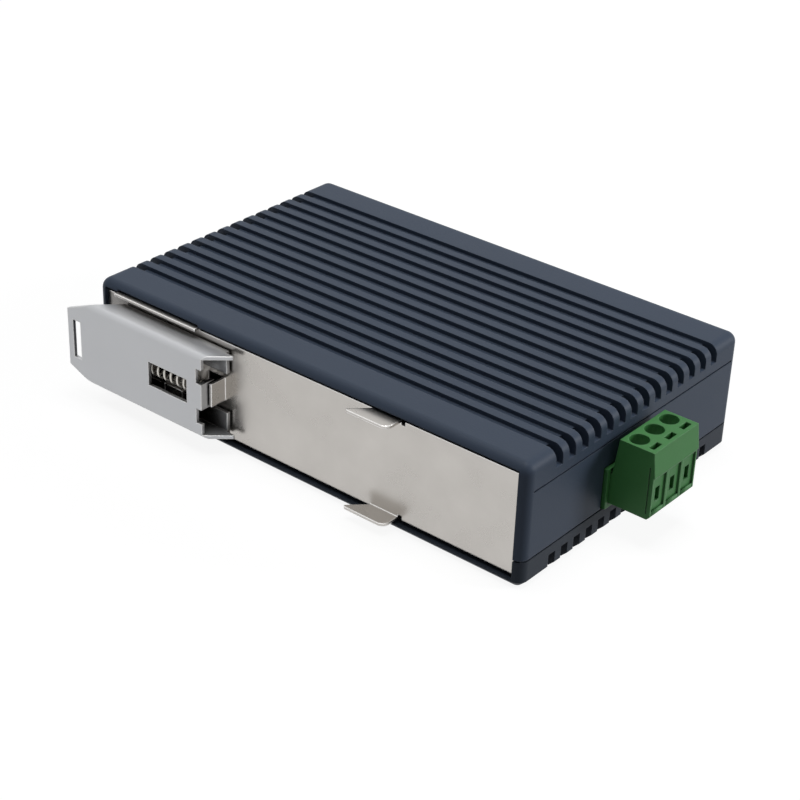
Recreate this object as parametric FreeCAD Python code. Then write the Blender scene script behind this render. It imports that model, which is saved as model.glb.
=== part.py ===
import FreeCAD, Part
import os
import math

# Slim five-port network switch for a 35 mm rail, lying on its broad side. Millimetres.
# Origin: rail centre line on the rear plate's outer face, at the middle of the thickness.
# X runs along the case toward the power plug, Y into the case toward the jacks, Z is up.

# Case
case_length = 111.4
case_depth = 72.0
case_height = 26.5
case_mid_x = -0.8
plate_inset = 0.8
corner_radius = 2.2
edge_break = 1.2
end_wall = 2.1
broad_wall = 2.2
lip_wall = 1.5
lip_depth = 3.0
seam_height = 6.05
seam_gap = 0.35
seam_step = 0.7
line_drop = 5.95
line_width = 0.4
line_depth = 0.4

# Fins and vent slots
groove_count = 14
fin_margin = 9.675
groove_width = 2.1
groove_depth = 0.9
slot_reach = 3.4
slot_drop = 3.75

# Rear plate
sheet = 0.6
plate_margin = 2.4
rail_width = 35.0
throat_clear = 0.6
throat_gap = 0.4
ear_tip_x = 14.8
ear_far_x = 25.0
ear_reach = 4.2
ear_out = 0.2
ear_tip_round = 0.5
ear_round = 1.6
relief_width = 1.0
relief_depth = 0.9
guide_offset = 9.7
guide_length = 23.3
guide_reach = 1.5
guide_rise = 0.8
guide_notch_depth = 1.3
guide_notch_rise = 0.4
guide_notch_drop = 1.0
seat_half = 2.5
stop_half = 2.6
stop_reach = 4.0
keeper_offset = 3.0
keeper_length = 5.0
keeper_gap = 6.9
keeper_over = 1.6
tab_half = 4.0
tab_reach = 4.0

# Latch slider
slider_sheet = 0.8
slider_x0 = -60.6
slider_x1 = -21.5
slider_margin = 1.4
slider_reach = 6.0
slider_tab_half = 6.6
slider_shoulder = 7.0
slider_bend = 1.2
latch_travel = 5.0
hook_reach = 4.7
hook_clear = 1.4
hook_nose = 0.3
foot_clear = 0.4
foot_inner_z = 4.5
foot_stop = 2.5
driver_slot_edge = 1.5
driver_slot_width = 2.3
driver_slot_half = 4.4
window_offset = 24.0
window_length = 11.0
window_half = 2.7
web_notch_depth = 1.5
web_notch_z1 = 6.2
lip_half = 2.9
lip_end_y = -2.2
slide_clear = 0.3

# Latch spring
spring_space = 17.5
spring_mean_radius = 1.6
spring_wire = 0.6
spring_y = -2.9
spring_turns = 10
spring_chords = 8

# Power terminal; places along X are counted from the end face
pole_pitch = 5.08
pole_count = 3
plug_mid_y = 33.2
header_reach = 0.8
header_length = 10.6
header_width = 17.2
header_z0 = -7.1
header_z1 = 1.7
header_wall = 0.9
header_back = 1.5
plug_fit = 0.25
plug_width = 15.3
plug_top_z = 8.6
plug_shoulder_out = 1.1
plug_front_out = 10.4
plug_top_rear_out = 2.1
plug_top_front_out = 9.7
plug_ledge_z = 3.3
plug_ledge_step = 0.3
plug_chamfer = 0.6
plug_tip_in = 6.3
screw_out = 4.7
screw_hole_radius = 2.0
thread_radius = 1.25
thread_clear = 0.05
screw_head_radius = 1.85
screw_head_z = 3.8
screw_head_height = 2.0
screw_tip_z = -0.45
screw_slot_width = 0.8
screw_slot_depth = 0.9
chamber_out0 = 2.5
chamber_out1 = 7.5
chamber_half = 2.05
chamber_z0 = -4.95
chamber_z1 = 3.1
window_recess = 0.4
entry_window_half = 2.15
entry_window_z0 = -5.2
entry_window_z1 = 2.8
entry_half = 0.75
entry_z0 = -2.65
entry_z1 = 0.35
test_slot_out = 7.65
test_slot_length = 1.2
test_slot_half = 1.4
test_slot_depth = 2.0
side_line_in = 1.3
side_line_width = 0.25
side_line_depth = 0.2
side_line_z0 = -4.8
side_line_z1 = 5.4
tunnel_out = 1.0
tunnel_half = 1.3
tunnel_z0 = -4.4
tunnel_z1 = -1.7
riser_length = 0.7
cage_clear = 0.3
cage_half = 1.75
cage_z0 = -4.65
cage_floor = 0.8
cage_space = 3.4
cage_top = 1.0
cage_side = 0.4
bar_z0 = -1.35
bar_thick = 0.7
bar_half = 0.9
bar_clear = 0.1
leaf_lead = 0.8
leaf_thick = 0.5
leaf_z0 = -4.1
leaf_z1 = -2.1
pin_size = 1.0
pin_z = -3.1
pin_leg_in = 10.8
pin_end_in = 2.3
pin_tail = 2.0

# Board and fastenings
board_thick = 1.6
board_gap = 0.4
board_notch = 9.0
post_half = 2.4
post_in_x0 = 8.4
post_in_x1 = 12.8
post_y = (16.0, 37.0)
case_screw_inset = 3.2
case_screw_rear = 5.2
case_screw_front = 5.8
case_screw_radius = 1.5
case_screw_head = 2.8
case_screw_sink = 0.1
case_screw_tip_z = -1.0
boss_half = 2.8
boss_tip_z = 1.0
recess_width = 0.7
recess_reach = 1.5
recess_depth = 1.0
hole_clear = 0.1

# Front panel and jacks
panel_thick = 2.0
panel_fit = 0.2
jack_count = 5
jack_pitch = 17.0
jack_width = 16.0
jack_height = 13.4
jack_length = 21.0
jack_row_shift = -4.5
jack_proud = 0.5
shield_thick = 0.3
shield_rim = 0.3
port_width = 11.7
port_height = 6.6
port_depth = 12.0
port_rise = 4.6
key_half = 3.1
key_drop = 2.0
nib_half = 1.7
nib_drop = 3.2
contact_count = 8
contact_pitch = 1.02
contact_width = 0.5
contact_thick = 0.4
contact_low = 4.0
contact_high = 0.9
contact_reach = 8.0

# Lamps and board packages
lamp_size = 2.0
lamp_in = 9.2
lamp_pitch = 3.4
lamp_z = (5.0, 1.0, -3.0)
lamp_fit = 0.1
lamp_depth = 4.0
lamp_proud = 0.3
holder_depth = 6.0
holder_wall = 1.0
package_gap = 1.4
magnetics_length = 12.8
magnetics_depth = 7.0
magnetics_height = 5.8
chip_gap = 2.5
chip_size = 12.0
chip_height = 1.0
chip_shift = -7.2
bevel = 0.3
crystal_length = 11.0
crystal_depth = 4.5
crystal_height = 3.5
crystal_gap = 4.0
crystal_cut = 1.3
inductor_size = 7.0
inductor_height = 4.0
inductor_gap = 3.0
inductor_cut = 0.9
capacitor_radius = 4.0
capacitor_height = 10.0
capacitor_pitch = 9.0
capacitor_shift = -2.5
capacitor_gap = 3.8
capacitor_foot = 0.8
capacitor_lap = 0.2
well_sides = 24
screw_sides = 18
thread_sides = 12

# Derived places
half_height = case_height / 2
end_x1 = case_mid_x + case_length / 2
end_x0 = case_mid_x - case_length / 2
rear_y = -plate_inset
front_y = rear_y + case_depth
mid_y = (rear_y + front_y) / 2
in_x0 = end_x0 + end_wall
in_x1 = end_x1 - end_wall
in_z = half_height - broad_wall
seam_z = seam_height - half_height
line_z = half_height - line_drop
groove_pitch = (case_depth - 2 * fin_margin) / (groove_count - 1)
plate_half = half_height - plate_margin
panel_y1 = front_y - plate_inset
panel_y0 = panel_y1 - panel_thick
board_top_z = header_z0
board_z0 = board_top_z - board_thick
case_screw_x = (in_x0 + case_screw_inset, in_x1 - case_screw_inset)
case_screw_y = (rear_y + case_screw_rear, front_y - case_screw_front)
case_screw_z = case_screw_sink - half_height
post_x = (in_x0 + post_in_x0, in_x1 - post_in_x1)
guide_x0 = slider_x0 + guide_offset
guide_x1 = guide_x0 + guide_length
slider_half = plate_half - slider_margin
spring_seat_x = slider_x1 - spring_space
hook_tip_x = slider_x1 + hook_reach
foot_x0 = in_x0 + latch_travel + foot_clear
foot_x1 = slider_x1 + foot_stop
poles = [plug_mid_y + (i - (pole_count - 1) / 2) * pole_pitch for i in range(pole_count)]
header_x1 = end_x1 + header_reach
header_x0 = header_x1 - header_length
plug_low_z = header_z0 + header_wall + plug_fit
plug_high_z = header_z1 - header_wall - plug_fit
plug_tip_x = end_x1 - plug_tip_in
plug_front_x = end_x1 + plug_front_out
plug_face_x = plug_front_x - plug_ledge_step
screw_x = end_x1 + screw_out
chamber_x0 = end_x1 + chamber_out0
chamber_x1 = end_x1 + chamber_out1
tunnel_x1 = end_x1 + tunnel_out
riser_x0 = tunnel_x1 - riser_length
cage_z1 = cage_z0 + cage_floor + cage_space + cage_top
pin_leg_x = end_x1 - pin_leg_in
jack_mid_x = case_mid_x + jack_row_shift
jack_x = [jack_mid_x + (i - (jack_count - 1) / 2) * jack_pitch for i in range(jack_count)]
jack_y1 = panel_y1 + jack_proud
jack_y0 = jack_y1 - jack_length
jack_z1 = board_top_z + jack_height
port_z0 = board_top_z + port_rise
lamp_x = (in_x1 - lamp_in - lamp_pitch, in_x1 - lamp_in)
magnetics_y1 = jack_y0 - package_gap
chip_y1 = magnetics_y1 - magnetics_depth - chip_gap
chip_mid_y = chip_y1 - chip_size / 2
chip_x1 = case_mid_x + chip_shift + chip_size / 2
crystal_x0 = chip_x1 + crystal_gap
inductor_x0 = crystal_x0 + crystal_length + inductor_gap
capacitor_x = inductor_x0 + inductor_size + capacitor_gap + capacitor_radius

V = FreeCAD.Vector
past = 5.0


def block(x0, x1, y0, y1, z0, z1):
    return Part.makeBox(x1 - x0, y1 - y0, z1 - z0, V(x0, y0, z0))


def post(x, y, z0, z1, half):
    return block(x - half, x + half, y - half, y + half, z0, z1)


def facet(points):
    return Part.Face(Part.makePolygon(points + points[:1]))


def ring(x, y, z, radius, sides):
    turns = [2 * math.pi * (i + 0.5) / sides for i in range(sides)]
    return [V(x + radius * math.cos(t), y + radius * math.sin(t), z) for t in turns]


def drum(x, y, z0, z1, radius, sides):
    """Upright round bar or bore, drawn with the given number of flat sides."""
    return facet(ring(x, y, z0, radius, sides)).extrude(V(0, 0, z1 - z0))


def frustum(x, y, z0, radius0, z1, radius1, sides):
    low = ring(x, y, z0, radius0, sides)
    high = ring(x, y, z1, radius1, sides)
    faces = [facet(low), facet(high)]
    for i in range(sides):
        n = (i + 1) % sides
        faces.append(facet([low[i], low[n], high[n], high[i]]))
    return Part.makeSolid(Part.makeShell(faces))


def prism_z(points, z0, z1):
    return facet([V(x, y, z0) for x, y in points]).extrude(V(0, 0, z1 - z0))


def prism_y(points, y0, y1):
    return facet([V(x, y0, z) for x, z in points]).extrude(V(0, y1 - y0, 0))


def prism_x(points, x0, x1):
    return facet([V(x0, y, z) for y, z in points]).extrude(V(x1 - x0, 0, 0))


def join(shapes):
    return shapes[0].multiFuse(shapes[1:]).removeSplitter()


def flip_z(shape):
    return shape.mirror(V(0, 0, 0), V(0, 0, 1))


def upright(shape, x, y):
    """Edges along Z that stand at the given place."""
    found = []
    for edge in shape.Edges:
        a, b = edge.Vertexes[0].Point, edge.Vertexes[-1].Point
        if abs(a.x - b.x) + abs(a.y - b.y) < 1e-6 and abs(a.x - x) + abs(a.y - y) < 1e-3:
            found.append(edge)
    return found


def standing(shape):
    return [e for e in shape.Edges if abs(e.Vertexes[0].Z - e.Vertexes[-1].Z) > 0.5]


def crest(shape, z):
    return [e for e in shape.Edges if e.BoundBox.ZMin > z - 1e-3]


def cover_shell(low_z, rounded):
    """Channel-shaped cover: broad face with fins, end walls with vent slots, open front and rear."""
    shell = block(end_x0, end_x1, rear_y, front_y, low_z, half_height)
    shell = shell.makeFillet(corner_radius, standing(shell))
    if rounded:
        shell = shell.makeFillet(corner_radius, crest(shell, half_height))
    else:
        shell = shell.makeChamfer(edge_break, crest(shell, half_height))
    lip_z = half_height - lip_wall
    hollow = [block(in_x0, in_x1, rear_y - past, front_y + past, low_z - past, in_z)]
    hollow.append(block(in_x0, in_x1, rear_y - past, rear_y + lip_depth, low_z - past, lip_z))
    hollow.append(block(in_x0, in_x1, front_y - lip_depth, front_y + past, low_z - past, lip_z))
    for i in range(groove_count):
        y0 = rear_y + fin_margin + i * groove_pitch - groove_width / 2
        y1 = y0 + groove_width
        floor_z = half_height - groove_depth
        slot_z = half_height - slot_drop
        hollow.append(block(end_x0 - past, end_x1 + past, y0, y1, floor_z, half_height + past))
        hollow.append(block(end_x0 - past, end_x0 + slot_reach, y0, y1, slot_z, half_height + past))
        hollow.append(block(end_x1 - slot_reach, end_x1 + past, y0, y1, slot_z, half_height + past))
    notch_z0, notch_z1 = in_z - guide_notch_drop, lip_z + guide_notch_rise
    hollow.append(block(guide_x0, guide_x1, rear_y - past, rear_y + guide_notch_depth, notch_z0, notch_z1))
    return shell.cut(hollow)


def top_cover():
    shell = cover_shell(seam_z, True)
    cuts = []
    for x0, x1 in ((end_x0 - 1, end_x0 + line_depth), (end_x1 - line_depth, end_x1 + 1)):
        z0 = line_z - line_width / 2
        cuts.append(block(x0, x1, rear_y + corner_radius, front_y - corner_radius, z0, z0 + line_width))
    half = header_width / 2 + slide_clear
    z1 = header_z1 + slide_clear
    y0, y1 = plug_mid_y - half, plug_mid_y + half
    cuts.append(block(in_x1 - 1, end_x1 + 1, y0, y1, seam_z - 1, z1))
    adds = []
    boss_z = sheet - plate_half
    for x in case_screw_x:
        for y in case_screw_y:
            adds.append(post(x, y, boss_z, in_z, boss_half))
            cuts.append(drum(x, y, boss_z - 1, boss_tip_z, case_screw_radius + hole_clear, thread_sides))
    for x in post_x:
        for y in post_y:
            adds.append(post(x, y, board_top_z, in_z, post_half))
    return join([shell] + adds).cut(cuts)


def bottom_cover():
    shell = flip_z(cover_shell(-seam_z, False))
    cuts = []
    step = block(end_x0 - 1, end_x1 + 1, rear_y - 1, front_y + 1, seam_z - seam_gap, seam_z + 1)
    t = seam_step
    keep = block(end_x0 + t, end_x1 - t, rear_y + t, front_y - t, seam_z - past, seam_z + past)
    cuts.append(step.cut(keep))
    adds = []
    for x in post_x:
        for y in post_y:
            adds.append(post(x, y, -in_z, board_z0, post_half))
    for x in case_screw_x:
        for y in case_screw_y:
            adds.append(post(x, y, -in_z - broad_wall / 4, -plate_half, boss_half))
            cuts.append(screw_body(x, y, thread_clear))
            cuts.append(drum(x, y, case_screw_z - 1, case_screw_z, case_screw_head, screw_sides))
    return join([shell] + adds).cut(cuts)


def screw_body(x, y, grow):
    """Countersunk screw without its drive recess; grow widens the shank for a hole."""
    shank = case_screw_radius + grow
    cone_z1 = case_screw_z + case_screw_head - shank
    cone = frustum(x, y, case_screw_z, case_screw_head, cone_z1, shank, screw_sides)
    return join([cone, drum(x, y, cone_z1, case_screw_tip_z, shank, screw_sides)])


def case_screws():
    made = []
    w = recess_width / 2
    r = recess_reach
    for x in case_screw_x:
        for y in case_screw_y:
            z0, z1 = case_screw_z - 1, case_screw_z + recess_depth
            drive = [block(x - r, x + r, y - w, y + w, z0, z1), block(x - w, x + w, y - r, y + r, z0, z1)]
            made.append(screw_body(x, y, 0.0).cut(drive))
    return Part.makeCompound(made)


def ear():
    """Rail ear at the plate's lower edge, with a slanted lead-in to the rail throat."""
    throat_x = rail_width / 2 + throat_clear
    z0 = -plate_half - ear_out
    nose = ear_reach - ear_tip_round
    points = [(throat_x, sheet), (throat_x, -throat_gap), (ear_tip_x, -nose)]
    points += [(ear_tip_x, -ear_reach), (ear_far_x, -ear_reach), (ear_far_x, sheet)]
    tab = prism_z(points, z0, z0 + sheet)
    tab = tab.makeFillet(ear_round, upright(tab, ear_far_x, -ear_reach))
    return tab.makeFillet(ear_tip_round * 0.9, upright(tab, ear_tip_x, -ear_reach))


def screw_tab(x, y0, y1):
    return block(max(in_x0, x - tab_half), min(in_x1, x + tab_half), y0, y1, -plate_half, sheet - plate_half)


def tab_hole(x, y):
    radius = case_screw_radius + hole_clear
    return drum(x, y, -plate_half - 1, sheet - plate_half + 1, radius, thread_sides)


def rear_plate():
    h = plate_half
    plate = block(in_x0, in_x1, 0, sheet, -h, h)
    cuts = [block(ear_far_x, ear_far_x + relief_width, -1, sheet + 1, -h - 1, relief_depth - h)]
    cuts.append(flip_z(cuts[0]))
    seat_x0 = spring_seat_x - sheet
    seat_out = slider_reach - slider_sheet - slide_clear
    cuts.append(block(seat_x0 - seat_out, seat_x0, -1, sheet + 1, -seat_half, seat_half))
    stop_x0 = slider_x1 + slide_clear
    cuts.append(block(stop_x0 - stop_reach, stop_x0, -1, sheet + 1, -stop_half, stop_half))
    plate = plate.cut(cuts)
    adds = [ear(), flip_z(ear())]
    adds.append(block(seat_x0, spring_seat_x, -seat_out, sheet, -seat_half, seat_half))
    adds.append(block(stop_x0, stop_x0 + sheet, -stop_reach, sheet, -stop_half, stop_half))
    rise = h + guide_rise
    stand = block(guide_x0, guide_x1, 0, sheet, h - sheet, rise)
    guide = join([stand, block(guide_x0, guide_x1, -guide_reach, sheet, rise - sheet, rise)])
    adds += [guide, flip_z(guide)]
    wall_z1 = foot_inner_z - slide_clear
    wall_z0 = wall_z1 - sheet
    over = -(foot_clear + slider_sheet + slide_clear)
    first = guide_x0 + keeper_offset
    for x0 in (first, first + keeper_length + keeper_gap):
        hook = [(sheet / 2, wall_z0), (over - sheet, wall_z0), (over - sheet, wall_z1 + keeper_over)]
        hook += [(over, wall_z1 + keeper_over), (over, wall_z1), (sheet / 2, wall_z1)]
        tab = prism_x(hook, x0, x0 + keeper_length)
        adds += [tab, flip_z(tab)]
    holes = []
    for x in case_screw_x:
        adds.append(screw_tab(x, 0, case_screw_y[0] + tab_reach))
        holes.append(tab_hole(x, case_screw_y[0]))
    return join([plate] + adds).cut(holes)


def latch_slider():
    """Sheet channel with a pull tab, spring window, hooked flange ends and inward feet."""
    y0 = -slider_reach
    h = slider_half
    web = y0 + slider_sheet
    back = -foot_clear
    foot_y = back - slider_sheet
    outer = block(slider_x0, hook_tip_x, y0, back, -h, h)
    bends = [e for e in outer.Edges if e.BoundBox.XLength > 9 and e.BoundBox.YMax < y0 + 0.01]
    outer = outer.makeFillet(slider_bend, bends)
    cuts = [block(slider_x0 - past, hook_tip_x + past, web, foot_y, slider_sheet - h, h - slider_sheet)]
    cuts.append(block(slider_x0 - past, hook_tip_x + past, foot_y - 1, back + 1, -foot_inner_z, foot_inner_z))
    shoulder = slider_x0 + slider_shoulder
    t = slider_tab_half
    for s in (-1, 1):
        corner = [(slider_x0 - 1, s * t), (slider_x0, s * t), (shoulder, s * h), (shoulder, s * (h + 1))]
        cuts.append(prism_y(corner + [(slider_x0 - 1, s * (h + 1))], y0 - 1, back + 1))
    start = [(slider_x0 - 1, web), (shoulder, web), (foot_x0, back), (foot_x0, back + 1)]
    cuts.append(prism_z(start + [(slider_x0 - 1, back + 1)], -h - 1, h + 1))
    nose_y = -hook_clear - hook_nose
    ramp = [(slider_x1, y0 - 1), (slider_x1, y0), (hook_tip_x, nose_y), (hook_tip_x + 1, nose_y)]
    cuts.append(prism_z(ramp + [(hook_tip_x + 1, y0 - 1)], -h - 1, h + 1))
    cuts.append(block(slider_x1, hook_tip_x + 1, y0 - 1, web, slider_sheet - h, h - slider_sheet))
    cuts.append(block(foot_x1, hook_tip_x + 1, -hook_clear, back + 1, -h - 1, h + 1))
    slot_x0 = slider_x0 + driver_slot_edge
    slot_x1 = slot_x0 + driver_slot_width
    cuts.append(block(slot_x0, slot_x1, y0 - 1, web + 1, -driver_slot_half, driver_slot_half))
    window_x0 = slider_x0 + window_offset
    cuts.append(block(window_x0, window_x0 + window_length, y0 - 1, web + 1, -window_half, window_half))
    for z0, z1 in ((lip_half, web_notch_z1), (-web_notch_z1, -lip_half)):
        cuts.append(block(slider_x1 - web_notch_depth, slider_x1 + 1, y0 - 1, web, z0, z1))
    tongue = block(slider_x1 - slider_sheet, slider_x1, y0, lip_end_y, -lip_half, lip_half)
    return join([outer.cut(cuts), tongue])


def latch_spring():
    """Compression spring along X between the plate's seat and the slider's tongue, in short chords."""
    wire = spring_wire / 2
    start = spring_seat_x + wire
    length = slider_x1 - slider_sheet - wire - start
    steps = spring_turns * spring_chords
    rings = []
    for i in range(steps + 1):
        turn = 2 * math.pi * i / spring_chords
        out = V(0, math.cos(turn), math.sin(turn))
        centre = V(start + length * i / steps, spring_y, 0) + out * spring_mean_radius
        along = V(1, 0, 0)
        rings.append([centre + out * wire, centre + along * wire, centre - out * wire, centre - along * wire])
    faces = [facet(rings[0]), facet(rings[-1])]
    for a, b in zip(rings, rings[1:]):
        for k in range(4):
            n = (k + 1) % 4
            faces.append(facet([a[k], a[n], b[n]]))
            faces.append(facet([a[k], b[n], b[k]]))
    return Part.makeSolid(Part.makeShell(faces))


def terminal_header():
    half = header_width / 2
    y0, y1 = plug_mid_y - half, plug_mid_y + half
    body = block(header_x0, header_x1, y0, y1, header_z0, header_z1)
    w = header_wall
    cuts = [block(header_x0 + header_back, header_x1 + 1, y0 + w, y1 - w, header_z0 + w, header_z1 - w)]
    s = pin_size / 2
    for y in poles:
        cuts.append(block(header_x0 - 1, header_x1, y - s, y + s, pin_z - s, pin_z + s))
    return body.cut(cuts)


def header_pins():
    s = pin_size / 2
    made = []
    for y in poles:
        run = block(pin_leg_x - s, end_x1 - pin_end_in, y - s, y + s, pin_z - s, pin_z + s)
        leg = block(pin_leg_x - s, pin_leg_x + s, y - s, y + s, board_z0 - pin_tail, pin_z)
        made.append(join([run, leg]))
    return Part.makeCompound(made)


def terminal_plug():
    """Plug body: stepped side profile, screw wells, wire entries, cage chambers and pin tunnels."""
    low, high = plug_low_z, plug_high_z
    face, front = plug_face_x, plug_front_x
    side = [(plug_tip_x, low), (face - plug_chamfer, low), (face, low + plug_chamfer), (face, plug_ledge_z)]
    side += [(front, plug_ledge_z), (end_x1 + plug_top_front_out, plug_top_z)]
    side += [(end_x1 + plug_top_rear_out, plug_top_z), (end_x1 + plug_shoulder_out, high), (plug_tip_x, high)]
    y0, y1 = plug_mid_y - plug_width / 2, plug_mid_y + plug_width / 2
    body = prism_y(side, y0, y1)
    line_x0 = front - side_line_in
    line_x1 = line_x0 + side_line_width
    cuts = [block(line_x0, line_x1, y0 - 1, y0 + side_line_depth, side_line_z0, side_line_z1)]
    cuts.append(block(line_x0, line_x1, y1 - side_line_depth, y1 + 1, side_line_z0, side_line_z1))
    test_x0 = end_x1 + test_slot_out
    test_x1 = test_x0 + test_slot_length
    bar_z1 = bar_z0 + bar_thick + bar_clear
    for y in poles:
        cuts.append(drum(screw_x, y, screw_head_z, plug_top_z + 1, screw_hole_radius, well_sides))
        bore = thread_radius + thread_clear
        cuts.append(drum(screw_x, y, chamber_z1 - 1, screw_head_z + 1, bore, thread_sides))
        half = chamber_half
        cuts.append(block(chamber_x0, chamber_x1, y - half, y + half, chamber_z0, chamber_z1))
        half = entry_window_half
        recess_x = face - window_recess
        cuts.append(block(recess_x, front + 1, y - half, y + half, entry_window_z0, entry_window_z1))
        cuts.append(block(chamber_x1 - 1, face, y - entry_half, y + entry_half, entry_z0, entry_z1))
        half = test_slot_half
        cuts.append(block(test_x0, test_x1, y - half, y + half, plug_top_z - test_slot_depth, plug_top_z + 1))
        half = tunnel_half
        cuts.append(block(plug_tip_x - 1, tunnel_x1, y - half, y + half, tunnel_z0, tunnel_z1))
        cuts.append(block(riser_x0, tunnel_x1, y - half, y + half, tunnel_z0, bar_z1))
        cuts.append(block(riser_x0, chamber_x0 + 1, y - bar_half, y + bar_half, bar_z0, bar_z1))
    return body.cut(cuts)


def plug_contacts():
    made = []
    x0 = riser_x0 + bar_clear
    x1 = x0 + leaf_thick
    bar_z1 = bar_z0 + bar_thick
    for y in poles:
        bar = block(x0, chamber_x1 - cage_clear - bar_clear, y - bar_half, y + bar_half, bar_z0, bar_z1)
        web = block(x0, x1, y - bar_half, y + bar_half, leaf_z0, bar_z1)
        leaves = []
        for side in (-1, 1):
            near, far = sorted((y + side * (pin_size / 2 + thread_clear), y + side * bar_half))
            leaves.append(block(plug_tip_x + leaf_lead, x1, near, far, leaf_z0, leaf_z1))
        made.append(join([bar, web] + leaves))
    return Part.makeCompound(made)


def terminal_screw(y):
    top = screw_head_z + screw_head_height
    shank = drum(screw_x, y, screw_tip_z, screw_head_z, thread_radius, thread_sides)
    head = Part.makeCylinder(screw_head_radius, screw_head_height, V(screw_x, y, screw_head_z))
    w = screw_slot_width / 2
    slot = block(screw_x - past, screw_x + past, y - w, y + w, top - screw_slot_depth, top + 1)
    return join([shank, head]).cut(slot)


def clamp_cage(y):
    """Clamp cage at its lowest: the wire space between its floor and the contact bar is open."""
    x0, x1 = chamber_x0 + cage_clear, chamber_x1 - cage_clear
    body = block(x0, x1, y - cage_half, y + cage_half, cage_z0, cage_z1)
    inner = cage_half - cage_side
    floor_z = cage_z0 + cage_floor
    body = body.cut(block(x0 - 1, x1 + 1, y - inner, y + inner, floor_z, floor_z + cage_space))
    hole = drum(screw_x, y, floor_z + cage_space - 1, cage_z1 + 1, thread_radius + thread_clear, thread_sides)
    return body.cut(hole)


def board():
    x0, x1 = in_x0 + board_gap, in_x1 - board_gap
    y0, y1 = sheet + board_gap, panel_y0 - board_gap
    plate = block(x0, x1, y0, y1, board_z0, board_top_z)
    z0, z1 = board_z0 - 1, board_top_z + 1
    n = board_notch
    cuts = []
    for xa, xb in ((x0 - 1, x0 + n), (x1 - n, x1 + 1)):
        cuts.append(block(xa, xb, y0 - 1, y0 + n, z0, z1))
        cuts.append(block(xa, xb, y1 - n, y1 + 1, z0, z1))
    s = pin_size / 2
    for y in poles:
        cuts.append(block(pin_leg_x - s, pin_leg_x + s, y - s, y + s, z0, z1))
    return plate.cut(cuts)


def front_panel():
    panel = block(in_x0, in_x1, panel_y0, panel_y1, -plate_half, plate_half)
    cuts = []
    y0, y1 = panel_y0 - 1, panel_y1 + 1
    for x in jack_x:
        half = jack_width / 2 + panel_fit
        cuts.append(block(x - half, x + half, y0, y1, board_top_z - panel_fit, jack_z1 + panel_fit))
    s = lamp_size / 2 + lamp_fit
    for x in lamp_x:
        for z in lamp_z:
            cuts.append(block(x - s, x + s, y0, y1, z - s, z + s))
    adds = []
    for x in case_screw_x:
        adds.append(screw_tab(x, case_screw_y[1] - tab_reach, panel_y1))
        cuts.append(tab_hole(x, case_screw_y[1]))
    return join([panel] + adds).cut(cuts)


def port_cut(x, grow):
    """Modular jack opening, seen from the front: wide mouth above a two-step latch keyway."""
    y0 = jack_y1 - port_depth
    y1 = jack_y1 + 1
    half = port_width / 2 + grow
    mouth = block(x - half, x + half, y0, y1, port_z0 - grow, port_z0 + port_height + grow)
    half = key_half + grow
    key = block(x - half, x + half, y0, y1, port_z0 - key_drop - grow, port_z0)
    half = nib_half + grow
    nib = block(x - half, x + half, y0, y1, port_z0 - nib_drop - grow, port_z0)
    return join([mouth, key, nib])


def jack_shield(x):
    half = jack_width / 2
    t = shield_thick
    outer = block(x - half, x + half, jack_y0, jack_y1, board_top_z, jack_z1)
    hollow = block(x - half + t, x + half - t, jack_y0 + t, jack_y1 - t, board_top_z - 1, jack_z1 - t)
    return outer.cut(hollow).cut(port_cut(x, shield_rim))


def jack_insert(x):
    half = jack_width / 2 - shield_thick
    y0, y1 = jack_y0 + shield_thick, jack_y1 - shield_thick
    body = block(x - half, x + half, y0, y1, board_top_z, jack_z1 - shield_thick)
    return body.cut(port_cut(x, 0.0))


def jack_contacts():
    """Sprung contacts in each jack, slanting from the back wall up toward the mouth."""
    made = []
    top = port_z0 + port_height
    back = jack_y1 - port_depth
    t = contact_thick
    line = [(back, top - contact_low), (back + contact_reach, top - contact_high)]
    line += [(back + contact_reach, top - contact_high + t), (back, top - contact_low + t)]
    for x in jack_x:
        for i in range(contact_count):
            cx = x + (i - (contact_count - 1) / 2) * contact_pitch
            made.append(prism_x(line, cx - contact_width / 2, cx + contact_width / 2))
    return Part.makeCompound(made)


def package(x0, y0, length, depth, height):
    body = block(x0, x0 + length, y0, y0 + depth, board_top_z, board_top_z + height)
    return body.makeChamfer(bevel, crest(body, board_top_z + height))


def switch_chip():
    return package(chip_x1 - chip_size, chip_y1 - chip_size, chip_size, chip_size, chip_height)


def magnetics():
    y0 = magnetics_y1 - magnetics_depth
    made = []
    for x in jack_x:
        x0 = x - magnetics_length / 2
        made.append(package(x0, y0, magnetics_length, magnetics_depth, magnetics_height))
    return Part.makeCompound(made)


def crystal():
    y0 = chip_mid_y - crystal_depth / 2
    x1 = crystal_x0 + crystal_length
    can = block(crystal_x0, x1, y0, y0 + crystal_depth, board_top_z, board_top_z + crystal_height)
    return can.makeChamfer(crystal_cut, standing(can))


def inductor():
    y0 = chip_mid_y - inductor_size / 2
    x1 = inductor_x0 + inductor_size
    body = block(inductor_x0, x1, y0, y0 + inductor_size, board_top_z, board_top_z + inductor_height)
    return body.makeChamfer(inductor_cut, standing(body))


def capacitors():
    made = []
    half = capacitor_radius + capacitor_lap
    mid = chip_mid_y + capacitor_shift
    for y in (mid - capacitor_pitch / 2, mid + capacitor_pitch / 2):
        foot = post(capacitor_x, y, board_top_z, board_top_z + capacitor_foot, half)
        can = drum(capacitor_x, y, board_top_z, board_top_z + capacitor_height, capacitor_radius, screw_sides)
        made.append(join([foot, can]))
    return Part.makeCompound(made)


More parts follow.
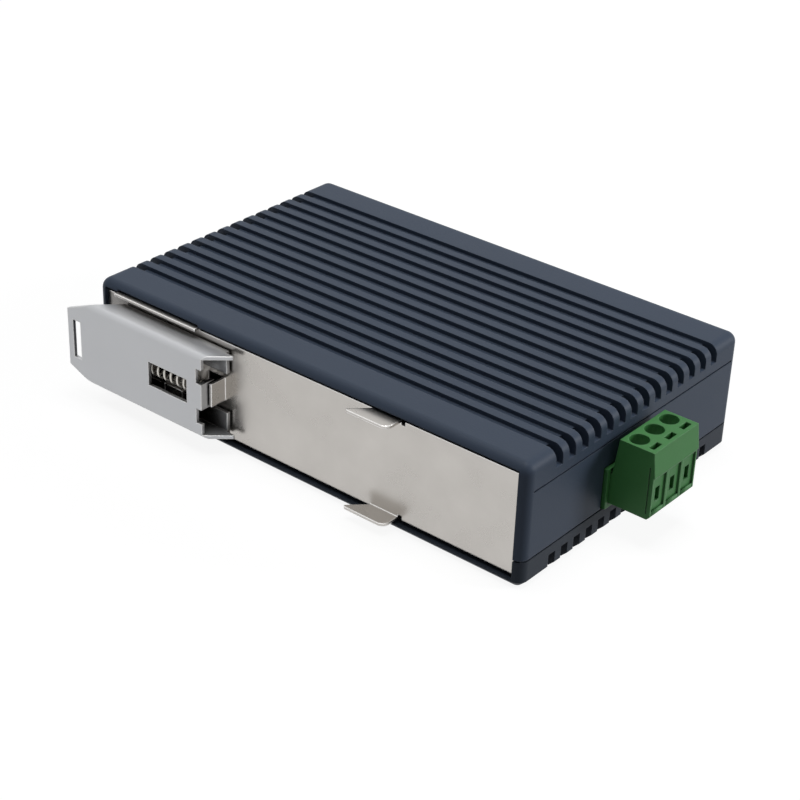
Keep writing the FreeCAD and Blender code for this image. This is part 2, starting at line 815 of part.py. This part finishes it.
def lamp_holder():
    s = lamp_size / 2
    x0, x1 = lamp_x[0] - s - holder_wall, lamp_x[1] + s + holder_wall
    body = block(x0, x1, panel_y0 - holder_depth, panel_y0, board_top_z, lamp_z[0] + s + holder_wall)
    cuts = []
    for x in lamp_x:
        for z in lamp_z:
            cuts.append(block(x - s, x + s, panel_y0 - lamp_depth, panel_y0 + 1, z - s, z + s))
    return body.cut(cuts)


def indicator_lamps():
    s = lamp_size / 2
    made = []
    for x in lamp_x:
        for z in lamp_z:
            made.append(block(x - s, x + s, panel_y0 - lamp_depth, panel_y1 + lamp_proud, z - s, z + s))
    return Part.makeCompound(made)


nodes = {
    "top_cover": top_cover(),
    "bottom_cover": bottom_cover(),
    "rear_plate": rear_plate(),
    "front_panel": front_panel(),
    "latch_slider": latch_slider(),
    "latch_spring": latch_spring(),
    "terminal_header": terminal_header(),
    "header_pins": header_pins(),
    "terminal_plug": terminal_plug(),
    "plug_contacts": plug_contacts(),
    "board": board(),
    "case_screws": case_screws(),
    "jack_contacts": jack_contacts(),
    "switch_chip": switch_chip(),
    "magnetics": magnetics(),
    "crystal": crystal(),
    "capacitors": capacitors(),
    "inductor": inductor(),
    "lamp_holder": lamp_holder(),
    "indicator_lamps": indicator_lamps(),
}
for i, pole_y in enumerate(poles):
    nodes["terminal_screw_%d" % (i + 1)] = terminal_screw(pole_y)
    nodes["clamp_cage_%d" % (i + 1)] = clamp_cage(pole_y)
for i, port_x in enumerate(jack_x):
    nodes["jack_shield_%d" % (i + 1)] = jack_shield(port_x)
    nodes["jack_insert_%d" % (i + 1)] = jack_insert(port_x)

os.makedirs("parts", exist_ok=True)
for name, shape in nodes.items():
    shape.exportStep("parts/%s.step" % name)
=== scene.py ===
import bpy
import numpy as np
from mathutils import Matrix, Vector


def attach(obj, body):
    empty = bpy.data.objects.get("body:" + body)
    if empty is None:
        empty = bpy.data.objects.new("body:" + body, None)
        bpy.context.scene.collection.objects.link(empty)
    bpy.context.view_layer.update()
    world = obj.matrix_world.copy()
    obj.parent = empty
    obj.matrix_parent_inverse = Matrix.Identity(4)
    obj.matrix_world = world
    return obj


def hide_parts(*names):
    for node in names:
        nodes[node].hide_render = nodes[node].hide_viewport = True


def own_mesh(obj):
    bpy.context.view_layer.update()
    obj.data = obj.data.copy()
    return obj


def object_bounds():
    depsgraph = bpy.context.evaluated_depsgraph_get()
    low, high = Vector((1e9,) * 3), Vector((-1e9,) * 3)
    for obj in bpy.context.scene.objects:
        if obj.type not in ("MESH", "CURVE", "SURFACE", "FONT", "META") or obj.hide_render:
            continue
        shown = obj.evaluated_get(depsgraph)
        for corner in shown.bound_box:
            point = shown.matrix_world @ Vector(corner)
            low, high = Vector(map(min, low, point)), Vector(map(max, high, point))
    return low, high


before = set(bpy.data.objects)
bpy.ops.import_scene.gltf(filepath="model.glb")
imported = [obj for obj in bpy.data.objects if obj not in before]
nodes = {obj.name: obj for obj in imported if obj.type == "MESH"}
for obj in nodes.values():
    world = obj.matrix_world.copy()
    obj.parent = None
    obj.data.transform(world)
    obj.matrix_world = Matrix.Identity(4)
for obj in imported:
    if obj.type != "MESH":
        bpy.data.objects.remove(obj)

cadBox = [list(corner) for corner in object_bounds()]
scene = bpy.context.scene
scene.view_settings.view_transform = "Standard"
print("loaded", len(nodes), "nodes")


# shared effects

effects = dict(fineDetail=3.0, coarseDetail=4.0, speckDetail=6.0, bevelSamples=6, domeSamples=8,
               bumpDepth=0.0002, evenStretch=(1.0, 1.0, 1.0))


def makeGroup(name, inputs, outputs):
    tree = bpy.data.node_groups.new(name, "ShaderNodeTree")
    for label, kind, value in inputs:
        tree.interface.new_socket(label, in_out="INPUT", socket_type=kind).default_value = value
    for label, kind in outputs:
        tree.interface.new_socket(label, in_out="OUTPUT", socket_type=kind)
    return tree, tree.nodes.new("NodeGroupInput"), tree.nodes.new("NodeGroupOutput")


def addNode(tree, kind, **settings):
    node = tree.nodes.new(kind)
    for key, value in settings.items():
        setattr(node, key, value)
    return node


def mathNode(tree, operation, first, second, clamp=False):
    node = addNode(tree, "ShaderNodeMath", operation=operation, use_clamp=clamp)
    for socket, value in zip(node.inputs, (first, second)):
        if hasattr(value, "is_linked"):
            tree.links.new(value, socket)
        else:
            socket.default_value = value
    return node.outputs[0]


def makeGrain():
    # height = fine noise pulled along each axis by Stretch, shade = coarse noise left even
    tree, given, out = makeGroup(
        "surfaceGrain",
        [("Fine Scale", "NodeSocketFloat", 2400.0), ("Coarse Scale", "NodeSocketFloat", 70.0),
         ("Stretch", "NodeSocketVector", effects["evenStretch"])],
        [("Height", "NodeSocketFloat"), ("Shade", "NodeSocketFloat")])
    place = addNode(tree, "ShaderNodeTexCoord")
    pull = addNode(tree, "ShaderNodeVectorMath", operation="MULTIPLY")
    tree.links.new(place.outputs["Object"], pull.inputs[0])
    tree.links.new(given.outputs["Stretch"], pull.inputs[1])
    fine = addNode(tree, "ShaderNodeTexNoise")
    fine.inputs["Detail"].default_value = effects["fineDetail"]
    coarse = addNode(tree, "ShaderNodeTexNoise")
    coarse.inputs["Detail"].default_value = effects["coarseDetail"]
    tree.links.new(pull.outputs[0], fine.inputs["Vector"])
    tree.links.new(given.outputs["Fine Scale"], fine.inputs["Scale"])
    tree.links.new(place.outputs["Object"], coarse.inputs["Vector"])
    tree.links.new(given.outputs["Coarse Scale"], coarse.inputs["Scale"])
    tree.links.new(fine.outputs[0], out.inputs["Height"])
    tree.links.new(coarse.outputs[0], out.inputs["Shade"])
    return tree


def makeSoftEdge():
    # normal = surface normal averaged within Radius, wear and highlight = how far it leans from the
    # flat normal, a mask for edge wear and for painted edge highlights
    tree, given, out = makeGroup(
        "softEdge",
        [("Radius", "NodeSocketFloat", 0.0002), ("Gain", "NodeSocketFloat", 4.0)],
        [("Normal", "NodeSocketVector"), ("Wear And Highlight", "NodeSocketFloat")])
    bevel = addNode(tree, "ShaderNodeBevel", samples=effects["bevelSamples"])
    flat = addNode(tree, "ShaderNodeNewGeometry")
    lean = addNode(tree, "ShaderNodeVectorMath", operation="DOT_PRODUCT")
    tree.links.new(given.outputs["Radius"], bevel.inputs["Radius"])
    tree.links.new(bevel.outputs[0], lean.inputs[0])
    tree.links.new(flat.outputs["True Normal"], lean.inputs[1])
    off = mathNode(tree, "SUBTRACT", 1.0, lean.outputs["Value"], clamp=True)
    tree.links.new(bevel.outputs[0], out.inputs["Normal"])
    wearAndHighlight = mathNode(tree, "MULTIPLY", off, given.outputs["Gain"], clamp=True)
    tree.links.new(wearAndHighlight, out.inputs["Wear And Highlight"])
    return tree


def makeDust():
    # cover = Amount where the surface looks up, broken by noise
    tree, given, out = makeGroup(
        "dustFilm",
        [("Amount", "NodeSocketFloat", 0.1), ("Scale", "NodeSocketFloat", 90.0)],
        [("Cover", "NodeSocketFloat")])
    place = addNode(tree, "ShaderNodeTexCoord")
    speck = addNode(tree, "ShaderNodeTexNoise")
    speck.inputs["Detail"].default_value = effects["speckDetail"]
    split = addNode(tree, "ShaderNodeSeparateXYZ")
    tree.links.new(place.outputs["Object"], speck.inputs["Vector"])
    tree.links.new(given.outputs["Scale"], speck.inputs["Scale"])
    tree.links.new(place.outputs["Normal"], split.inputs[0])
    up = mathNode(tree, "MULTIPLY", split.outputs["Z"], speck.outputs[0], clamp=True)
    cover = mathNode(tree, "MULTIPLY", up, given.outputs["Amount"], clamp=True)
    tree.links.new(cover, out.inputs["Cover"])
    return tree


def makeRecessShade():
    # painted shade in recesses: mask = Amount times how far the open share of a small dome over the
    # surface falls below Start
    tree, given, out = makeGroup(
        "paintedRecessShade",
        [("Reach", "NodeSocketFloat", 0.004), ("Start", "NodeSocketFloat", 0.5),
         ("Amount", "NodeSocketFloat", 1.0)],
        [("Mask", "NodeSocketFloat")])
    dome = addNode(tree, "ShaderNodeAmbientOcclusion", samples=effects["domeSamples"])
    tree.links.new(given.outputs["Reach"], dome.inputs["Distance"])
    below = mathNode(tree, "SUBTRACT", given.outputs["Start"], dome.outputs["AO"], clamp=True)
    share = mathNode(tree, "DIVIDE", below, given.outputs["Start"])
    mask = mathNode(tree, "MULTIPLY", share, given.outputs["Amount"], clamp=True)
    tree.links.new(mask, out.inputs["Mask"])
    return tree


grainGroup = makeGrain()
edgeGroup = makeSoftEdge()
dustGroup = makeDust()
recessShadeGroup = makeRecessShade()
print("made shader groups")


# finishes

finishes = {
    "casePlastic": dict(
        base=(0.039, 0.055, 0.087), vary=(0.048, 0.067, 0.102), wornAndLitTone=(0.085, 0.10, 0.125),
        dusty=(0.20, 0.21, 0.22), rough=(0.44, 0.56), metal=0.0, fine=2600, coarse=45,
        bump=0.10, edge=0.00022, gain=0.9, dust=0.04, specular=0.17),
    # bottom cover: the case plastic made darker and less blue, painted shade on the lower part of the
    # case
    "casePlasticShaded": dict(
        base=(0.026, 0.034, 0.048), vary=(0.034, 0.043, 0.059), wornAndLitTone=(0.07, 0.075, 0.085),
        dusty=(0.20, 0.21, 0.22), rough=(0.46, 0.58), metal=0.0, fine=2600, coarse=45,
        bump=0.10, edge=0.00022, gain=0.8, dust=0.03, specular=0.14),
    # plate steel: its edge colour paints bright highlights along the sheet edges, and its recess colour
    # paints shade in the hollows
    "plateSteel": dict(
        base=(0.45, 0.43, 0.405), vary=(0.60, 0.575, 0.545), wornAndLitTone=(0.97, 0.96, 0.95),
        dusty=(0.5, 0.5, 0.48), rough=(0.24, 0.32), metal=0.92, fine=900, coarse=90, bump=0.008,
        edge=0.00038, gain=7.0, dust=0.04, specular=0.5, stretch=(0.12, 1.0, 1.0),
        paintedShade=(0.004, 0.40, 0.8), paintedShadeTone=(0.06, 0.055, 0.05)),
    # slider steel: its edge colour paints bright highlights along the edges and folds, and its recess
    # colour paints the cavity dark as painted shade
    "sliderSteel": dict(
        base=(0.59, 0.60, 0.62), vary=(0.66, 0.67, 0.69), wornAndLitTone=(0.96, 0.96, 0.94),
        dusty=(0.5, 0.5, 0.48), rough=(0.26, 0.36), metal=0.60, fine=900, coarse=60, bump=0.01,
        edge=0.00034, gain=6.0, dust=0.03, specular=0.5, stretch=(0.12, 1.0, 1.0),
        paintedShade=(0.008, 0.66, 2.0), paintedShadeTone=(0.026, 0.022, 0.019)),
    "springSteel": dict(
        base=(0.52, 0.50, 0.46), vary=(0.62, 0.60, 0.56), wornAndLitTone=(0.7, 0.7, 0.68),
        dusty=(0.4, 0.4, 0.4), rough=(0.25, 0.38), metal=1.0, fine=3000, coarse=300, bump=0.03,
        edge=0.00004, gain=0.5, dust=0.0, specular=0.5),
    # green plastic: its edge colour is wear and a painted highlight on the edges, and its recess colour
    # paints shade in the window frames and under the ledge
    "greenPlastic": dict(
        base=(0.040, 0.190, 0.044), vary=(0.055, 0.225, 0.062), wornAndLitTone=(0.13, 0.33, 0.15),
        dusty=(0.35, 0.42, 0.35), rough=(0.42, 0.55), metal=0.0, fine=2200, coarse=120,
        bump=0.06, edge=0.00028, gain=2.0, dust=0.03, specular=0.30, paintedShade=(0.0010, 0.85, 1.3),
        paintedShadeTone=(0.010, 0.040, 0.012)),
    "tinnedBrass": dict(
        base=(0.60, 0.57, 0.50), vary=(0.70, 0.67, 0.60), wornAndLitTone=(0.75, 0.66, 0.45),
        dusty=(0.4, 0.4, 0.4), rough=(0.30, 0.45), metal=1.0, fine=2000, coarse=400, bump=0.03,
        edge=0.00006, gain=1.0, dust=0.0, specular=0.5),
    "goldContact": dict(
        base=(0.83, 0.60, 0.24), vary=(0.90, 0.70, 0.34), wornAndLitTone=(0.95, 0.80, 0.50),
        dusty=(0.5, 0.4, 0.3), rough=(0.18, 0.28), metal=1.0, fine=3000, coarse=500, bump=0.02,
        edge=0.00004, gain=0.5, dust=0.0, specular=0.5),
    "zincScrew": dict(
        base=(0.52, 0.53, 0.55), vary=(0.62, 0.62, 0.62), wornAndLitTone=(0.8, 0.8, 0.78),
        dusty=(0.4, 0.4, 0.4), rough=(0.28, 0.42), metal=1.0, fine=2500, coarse=350, bump=0.04,
        edge=0.00008, gain=2.0, dust=0.0, specular=0.5),
    "shieldTin": dict(
        base=(0.60, 0.60, 0.60), vary=(0.70, 0.70, 0.69), wornAndLitTone=(0.8, 0.8, 0.8),
        dusty=(0.5, 0.5, 0.5), rough=(0.22, 0.36), metal=1.0, fine=1200, coarse=90, bump=0.03,
        edge=0.00008, gain=1.5, dust=0.02, specular=0.5),
    "blackPlastic": dict(
        base=(0.016, 0.016, 0.018), vary=(0.026, 0.026, 0.028), wornAndLitTone=(0.08, 0.08, 0.08),
        dusty=(0.2, 0.2, 0.2), rough=(0.45, 0.6), metal=0.0, fine=2500, coarse=150, bump=0.06,
        edge=0.00010, gain=0.6, dust=0.04, specular=0.4),
    "boardLaminate": dict(
        base=(0.010, 0.085, 0.035), vary=(0.018, 0.12, 0.05), wornAndLitTone=(0.3, 0.28, 0.18),
        dusty=(0.2, 0.25, 0.2), rough=(0.30, 0.42), metal=0.0, fine=1500, coarse=260, bump=0.04,
        edge=0.00008, gain=1.0, dust=0.03, specular=0.5),
    "canMetal": dict(
        base=(0.62, 0.62, 0.63), vary=(0.70, 0.70, 0.70), wornAndLitTone=(0.8, 0.8, 0.8),
        dusty=(0.5, 0.5, 0.5), rough=(0.30, 0.40), metal=1.0, fine=1800, coarse=200, bump=0.03,
        edge=0.00012, gain=1.0, dust=0.02, specular=0.5),
    "lampLens": dict(
        base=(0.62, 0.66, 0.58), vary=(0.70, 0.73, 0.66), wornAndLitTone=(0.8, 0.82, 0.78),
        dusty=(0.6, 0.6, 0.6), rough=(0.12, 0.2), metal=0.0, fine=900, coarse=250, bump=0.01,
        edge=0.00020, gain=0.5, dust=0.0, specular=0.5),
}


def mixColor(tree, factor, first, second):
    node = addNode(tree, "ShaderNodeMix", data_type="RGBA")
    tree.links.new(factor, node.inputs["Factor"])
    colorSockets = node.inputs[6], node.inputs[7]  # the A and B that are colours
    for socket, value in zip(colorSockets, (first, second)):
        if hasattr(value, "is_linked"):
            tree.links.new(value, socket)
        else:
            socket.default_value = (*value, 1.0)
    return node.outputs[2]  # the result that is a colour


def makeFinish(name, look):
    material = bpy.data.materials.new(name)
    material.use_nodes = True
    tree = material.node_tree
    shader = tree.nodes["Principled BSDF"]
    grain = addNode(tree, "ShaderNodeGroup", node_tree=grainGroup)
    grain.inputs["Fine Scale"].default_value = look["fine"]
    grain.inputs["Coarse Scale"].default_value = look["coarse"]
    grain.inputs["Stretch"].default_value = look.get("stretch", effects["evenStretch"])
    edge = addNode(tree, "ShaderNodeGroup", node_tree=edgeGroup)
    edge.inputs["Radius"].default_value = look["edge"]
    edge.inputs["Gain"].default_value = look["gain"]
    dust = addNode(tree, "ShaderNodeGroup", node_tree=dustGroup)
    dust.inputs["Amount"].default_value = look["dust"]
    body = mixColor(tree, grain.outputs["Shade"], look["base"], look["vary"])
    # edges lightened towards the edge colour: wear, and on the steels and the green plastic a painted
    # highlight
    rubbedAndLit = mixColor(tree, edge.outputs["Wear And Highlight"], body, look["wornAndLitTone"])
    skin = mixColor(tree, dust.outputs["Cover"], rubbedAndLit, look["dusty"])
    # hollows darkened towards a dark tone by the dome mask: painted shade
    if "paintedShade" in look:
        paintedShade = addNode(tree, "ShaderNodeGroup", node_tree=recessShadeGroup)
        for label, value in zip(("Reach", "Start", "Amount"), look["paintedShade"]):
            paintedShade.inputs[label].default_value = value
        skin = mixColor(tree, paintedShade.outputs["Mask"], skin, look["paintedShadeTone"])
    tree.links.new(skin, shader.inputs["Base Color"])
    spread = addNode(tree, "ShaderNodeMapRange")
    spread.inputs["To Min"].default_value, spread.inputs["To Max"].default_value = look["rough"]
    tree.links.new(grain.outputs["Shade"], spread.inputs["Value"])
    tree.links.new(spread.outputs["Result"], shader.inputs["Roughness"])
    bump = addNode(tree, "ShaderNodeBump")
    bump.inputs["Strength"].default_value = look["bump"]
    bump.inputs["Distance"].default_value = effects["bumpDepth"]
    tree.links.new(grain.outputs["Height"], bump.inputs["Height"])
    tree.links.new(edge.outputs["Normal"], bump.inputs["Normal"])
    tree.links.new(bump.outputs["Normal"], shader.inputs["Normal"])
    shader.inputs["Metallic"].default_value = look["metal"]
    shader.inputs["Specular IOR Level"].default_value = look["specular"]
    return material


materials = {name: makeFinish(name, look) for name, look in finishes.items()}

wears = {
    "casePlastic": ["top_cover", "front_panel"],
    "casePlasticShaded": ["bottom_cover"],
    "plateSteel": ["rear_plate"],
    "sliderSteel": ["latch_slider"],
    "springSteel": ["latch_spring"],
    "greenPlastic": ["terminal_header", "terminal_plug"],
    "tinnedBrass": ["header_pins", "plug_contacts", "clamp_cage_1", "clamp_cage_2", "clamp_cage_3"],
    "goldContact": ["jack_contacts"],
    "zincScrew": ["case_screws", "terminal_screw_1", "terminal_screw_2", "terminal_screw_3"],
    "shieldTin": ["jack_shield_%d" % port for port in range(1, 6)],
    "blackPlastic": ["jack_insert_%d" % port for port in range(1, 6)]
    + ["switch_chip", "magnetics", "inductor", "lamp_holder"],
    "boardLaminate": ["board"],
    "canMetal": ["crystal", "capacitors"],
    "lampLens": ["indicator_lamps"],
}
for finish, names in wears.items():
    for name in names:
        nodes[name].data.materials.clear()
        nodes[name].data.materials.append(materials[finish])
print("dressed", sum(len(names) for names in wears.values()), "nodes")


# new pieces

closedEnd = 1e-3  # width of a ring that closes an end, as a share of the section's


def gridMesh(name, points):
    # quads between neighbouring rows of each grid of points, whose columns wrap round
    points = points.reshape((-1,) + points.shape[-3:])
    number = np.arange(points[..., 0].size).reshape(points.shape[:3])
    beside = np.roll(number, -1, axis=2)
    quads = np.stack([number[:, :-1], beside[:, :-1], beside[:, 1:], number[:, 1:]], axis=-1)
    mesh = bpy.data.meshes.new(name)
    mesh.from_pydata(points.reshape(-1, 3).tolist(), [], quads.reshape(-1, 4).tolist())
    return mesh


def addPiece(name, points, finish, body):
    mesh = gridMesh(name, points)
    mesh.materials.append(materials[finish])
    mesh.polygons.foreach_set("use_smooth", np.ones(len(mesh.polygons), dtype=bool))
    piece = bpy.data.objects.new(name, mesh)
    scene.collection.objects.link(piece)
    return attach(piece, body)


spring = dict(start=-0.0390, end=-0.0223, axisY=-0.0029, meanRadius=0.0016, wireRadius=0.0003,
              turns=10.0, deadTurns=1.0, deadPitch=2.02,  # in wire radii
              stepsPerTurn=40, sides=10, travel=0.005)


def springWire(look):
    # round section carried along a helix about X whose pitch closes up over the dead turns at each end
    steps = int(look["turns"] * look["stepsPerTurn"])
    turn = np.linspace(0.0, look["turns"], steps + 1)
    dead = look["deadTurns"]
    wire = look["wireRadius"]
    first, last = look["start"] + wire, look["end"] - wire
    shut = look["deadPitch"] * wire * dead
    x = np.interp(turn, [0.0, dead, look["turns"] - dead, look["turns"]],
                  [first, first + shut, last - shut, last])
    angle = 2.0 * np.pi * turn
    outward = np.stack([np.zeros_like(angle), np.cos(angle), np.sin(angle)], axis=-1)
    axis = np.stack([x, np.full_like(x, look["axisY"]), 0.0 * x], axis=-1)
    centre = axis + outward * look["meanRadius"]
    around = np.linspace(0.0, 2.0 * np.pi, look["sides"], endpoint=False)
    along = np.array([1.0, 0.0, 0.0])
    taper = np.ones_like(turn)
    taper[[0, -1]] = closedEnd
    section = (np.cos(around)[None, :, None] * outward[:, None, :]
               - np.sin(around)[None, :, None] * along[None, None, :])
    return centre[:, None, :] + section * (wire * taper)[:, None, None]


springPiece = addPiece("latchSpring", springWire(spring), "springSteel", "case")
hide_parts("latch_spring")
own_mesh(springPiece)
print("added spring")


def ringAcross(power, sides):
    # superellipse of half-width one in X and Z, going round so that a path along +Y faces outward
    around = np.linspace(0.0, 2.0 * np.pi, sides, endpoint=False)
    wave = np.stack([np.cos(around), 0.0 * around, -np.sin(around)], axis=-1)
    return np.sign(wave) * np.abs(wave) ** (2.0 / power)


lens = dict(columns=(0.0402, 0.0436), rows=(0.005, 0.001, -0.003), back=0.0644, face=0.0703, tip=0.0707,
            half=0.00098, power=5.0, sides=32, domeSteps=9)


def lampLenses(look):
    # squarish section carried along Y, closed by a low dome whose width falls as the root of the cosine
    lean = np.linspace(0.0, 0.5 * np.pi, look["domeSteps"])
    y = np.concatenate([[look["back"]] * 2, look["face"] + (look["tip"] - look["face"]) * np.sin(lean)])
    dome = np.maximum(np.sqrt(np.cos(lean)), closedEnd)
    width = np.concatenate([[closedEnd, 1.0], dome]) * look["half"]
    ring = ringAcross(look["power"], look["sides"])
    one = ring[None] * width[:, None, None] + np.stack([0.0 * y, y, 0.0 * y], axis=-1)[:, None, :]
    x, z = np.meshgrid(look["columns"], look["rows"], indexing="ij")
    place = np.stack([x.ravel(), 0.0 * x.ravel(), z.ravel()], axis=-1)
    return place[:, None, None, :] + one[None]


lensPiece = addPiece("lampLenses", lampLenses(lens), "lampLens", "case")
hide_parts("indicator_lamps")

wires = dict(jacks=5, firstJack=-0.0393, jackPitch=0.017, ways=8, wayPitch=0.00102, radius=0.00022,
             back=0.0589, mouth=0.0669, low=0.0003, high=0.0034, bow=0.10, power=2.0, steps=18, sides=8)


def jackWires(look):
    # round section carried along a slant, bowed by a sine, from the back wall to the mouth,
    # once for each way of each jack
    run = np.linspace(0.0, 1.0, look["steps"])
    y = look["back"] + (look["mouth"] - look["back"]) * run
    z = look["low"] + (look["high"] - look["low"]) * (run - look["bow"] * np.sin(np.pi * run))
    taper = np.ones_like(run)
    taper[[0, -1]] = closedEnd
    ring = ringAcross(look["power"], look["sides"]) * look["radius"]
    one = ring[None] * taper[:, None, None] + np.stack([0.0 * y, y, z], axis=-1)[:, None, :]
    jack = look["firstJack"] + look["jackPitch"] * np.arange(look["jacks"])
    way = look["wayPitch"] * (np.arange(look["ways"]) - 0.5 * (look["ways"] - 1))
    x = (jack[:, None] + way[None]).ravel()
    place = np.stack([x, 0.0 * x, 0.0 * x], axis=-1)
    return place[:, None, None, :] + one[None]


wirePiece = addPiece("jackWires", jackWires(wires), "goldContact", "case")
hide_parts("jack_contacts")

sills = dict(middles=(0.02812, 0.0332, 0.03828), halfLength=0.00213, front=0.06497, back=0.06458,
             low=-0.00522, high=-0.00440, power=9.0, sides=40)


def plugSills(look):
    # boxy section carried along Y across the foot of each wire window, with its ends drawn to a point
    step = np.array([-1.0, -1.0, 1.0, 1.0]) * look["halfLength"]
    width = np.array([closedEnd, 1.0, 1.0, closedEnd])
    half = 0.5 * np.array([look["front"] - look["back"], 0.0, look["high"] - look["low"]])
    centre = 0.5 * np.array([look["front"] + look["back"], 0.0, look["high"] + look["low"]])
    ring = ringAcross(look["power"], look["sides"]) * half
    one = ring[None] * width[:, None, None] + centre
    one = one + np.stack([0.0 * step, step, 0.0 * step], axis=-1)[:, None, :]
    middle = np.array(look["middles"])
    place = np.stack([0.0 * middle, middle, 0.0 * middle], axis=-1)
    return place[:, None, None, :] + one[None]


sillPiece = addPiece("plugSills", plugSills(sills), "greenPlastic", "plug")
print("added lenses, jack wires and sills")


# camera, light and floor

shot = dict(place=(0.2181, -0.2421, 0.19165), focal=1928.7, frame=800.0, sensor=36.0,
            right=(0.7685, 0.6389, 0.0335), down=(0.339, -0.3622, -0.8683), clip=(0.01, 20.0))


def addCamera(look):
    right = Vector(look["right"]).normalized()
    up = -Vector(look["down"]).normalized()
    back = right.cross(up).normalized()
    up = back.cross(right)
    optics = bpy.data.cameras.new("photoCamera")
    optics.sensor_width = look["sensor"]
    optics.lens = look["focal"] / look["frame"] * look["sensor"]  # focal and frame are in pixels
    optics.clip_start, optics.clip_end = look["clip"]
    camera = bpy.data.objects.new("photoCamera", optics)
    turn = Matrix((right, up, back)).transposed().to_4x4()
    camera.matrix_world = Matrix.Translation(look["place"]) @ turn
    scene.collection.objects.link(camera)
    scene.camera = camera


lampAim = (0.0, 0.03, 0.0)
lamps = [
    dict(name="keySoftbox", place=(0.62, 0.52, 0.28), size=0.26, watts=3.2),
    dict(name="overheadSoftbox", place=(-0.03, 0.03, 0.85), size=0.5, watts=3.8),
    dict(name="rearFill", place=(-0.25, -0.75, 0.45), size=0.7, watts=0.12),
]


def addLamp(look):
    light = bpy.data.lights.new(look["name"], "AREA")
    light.shape, light.size, light.energy = "SQUARE", look["size"], look["watts"]
    lamp = bpy.data.objects.new(look["name"], light)
    lamp.location = look["place"]
    aim = Vector(lampAim) - Vector(look["place"])
    lamp.rotation_euler = aim.to_track_quat("-Z", "Y").to_euler()
    scene.collection.objects.link(lamp)


backdrop = dict(lightTone=(0.9, 0.92, 0.95), lightStrength=0.06,
                seenTone=(1.0, 1.0, 1.0), seenStrength=1.0,
                nearGlow=0.90, farGlow=1.0, glowSpan=(0.15, 0.9),
                floorTone=0.18, reach=6.0, gap=0.00002)


def seenDirectly(tree):
    # one where a camera, glossy or transmission ray looks, nought where light is gathered
    path = addNode(tree, "ShaderNodeLightPath")
    most = mathNode(tree, "MAXIMUM", path.outputs["Is Camera Ray"], path.outputs["Is Glossy Ray"])
    return mathNode(tree, "MAXIMUM", most, path.outputs["Is Transmission Ray"])


def addSky(look):
    world = bpy.data.worlds.new("paleStudio")
    world.use_nodes = True
    scene.world = world
    tree = world.node_tree
    sky = tree.nodes["Background"]
    strength = addNode(tree, "ShaderNodeMapRange")
    strength.inputs["To Min"].default_value = look["lightStrength"]
    strength.inputs["To Max"].default_value = look["seenStrength"]
    seen = seenDirectly(tree)
    tree.links.new(seen, strength.inputs["Value"])
    tree.links.new(strength.outputs["Result"], sky.inputs["Strength"])
    tree.links.new(mixColor(tree, seen, look["lightTone"], look["seenTone"]), sky.inputs["Color"])


def makeFloorPaint(look):
    paint = bpy.data.materials.new("studioFloor")
    paint.use_nodes = True
    tree = paint.node_tree
    tree.nodes.remove(tree.nodes["Principled BSDF"])
    matt = addNode(tree, "ShaderNodeBsdfDiffuse")
    matt.inputs["Color"].default_value = (look["floorTone"],) * 3 + (1.0,)
    shine = addNode(tree, "ShaderNodeEmission")
    place = addNode(tree, "ShaderNodeTexCoord")
    away = addNode(tree, "ShaderNodeVectorMath", operation="LENGTH")
    tree.links.new(place.outputs["Object"], away.inputs[0])
    fade = addNode(tree, "ShaderNodeMapRange", interpolation_type="SMOOTHSTEP")
    fade.inputs["From Min"].default_value, fade.inputs["From Max"].default_value = look["glowSpan"]
    fade.inputs["To Min"].default_value = look["nearGlow"]
    fade.inputs["To Max"].default_value = look["farGlow"]
    tree.links.new(away.outputs["Value"], fade.inputs["Value"])
    glow = mathNode(tree, "MULTIPLY", seenDirectly(tree), fade.outputs["Result"])
    tree.links.new(glow, shine.inputs["Strength"])
    both = addNode(tree, "ShaderNodeAddShader")
    tree.links.new(matt.outputs[0], both.inputs[0])
    tree.links.new(shine.outputs[0], both.inputs[1])
    tree.links.new(both.outputs[0], tree.nodes["Material Output"].inputs["Surface"])
    return paint


def addFloor(look):
    low = cadBox[0][2] - look["gap"]
    reach = look["reach"]
    corners = [(-reach, -reach, low), (reach, -reach, low), (reach, reach, low), (-reach, reach, low)]
    sheet = bpy.data.meshes.new("studioFloor")
    sheet.from_pydata(corners, [], [(0, 1, 2, 3)])
    sheet.materials.append(makeFloorPaint(look))
    floor = bpy.data.objects.new("studioFloor", sheet)
    scene.collection.objects.link(floor)


addCamera(shot)
for lamp in lamps:
    addLamp(lamp)
addSky(backdrop)
addFloor(backdrop)
print("set camera, light and floor")
